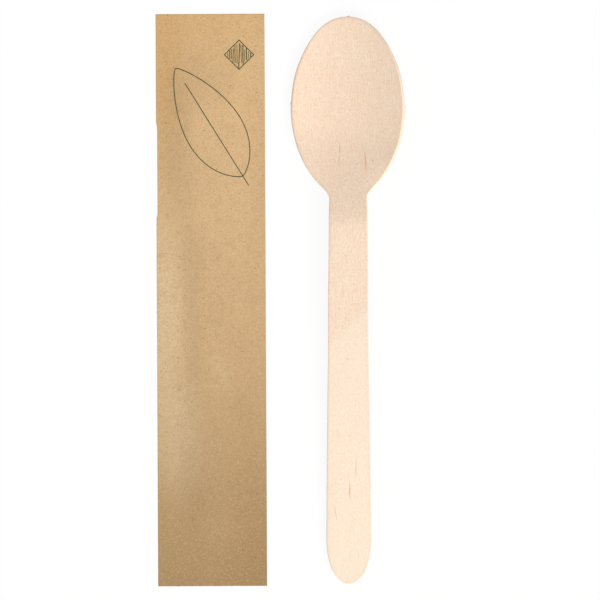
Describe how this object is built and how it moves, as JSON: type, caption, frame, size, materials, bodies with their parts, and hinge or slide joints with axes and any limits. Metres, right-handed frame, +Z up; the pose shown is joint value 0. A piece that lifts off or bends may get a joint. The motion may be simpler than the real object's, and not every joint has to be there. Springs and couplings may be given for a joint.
{
  "type": "pack of wooden spoons",
  "caption": "Disposable wooden spoon with a shallow oval bowl and a flat handle, lying beside another that is sealed in a flat kraft paper sleeve.",
  "frame": {"origin": "on the surface that both lie on, under the middle of the pair", "axes": "+Z up, +Y from the handles' ends to the bowls' tips, +X from the wrapped spoon to the bare one"},
  "size_m": [0.0702, 0.1612, 0.0079],
  "materials": {
    "kraft_paper": "uncoated",
    "birch_veneer": "smooth, unvarnished"
  },
  "bodies": {
    "root": {"wrapped_spoon": "kraft_paper", "bare_spoon": "birch_veneer"}
  },
  "joints": []
}
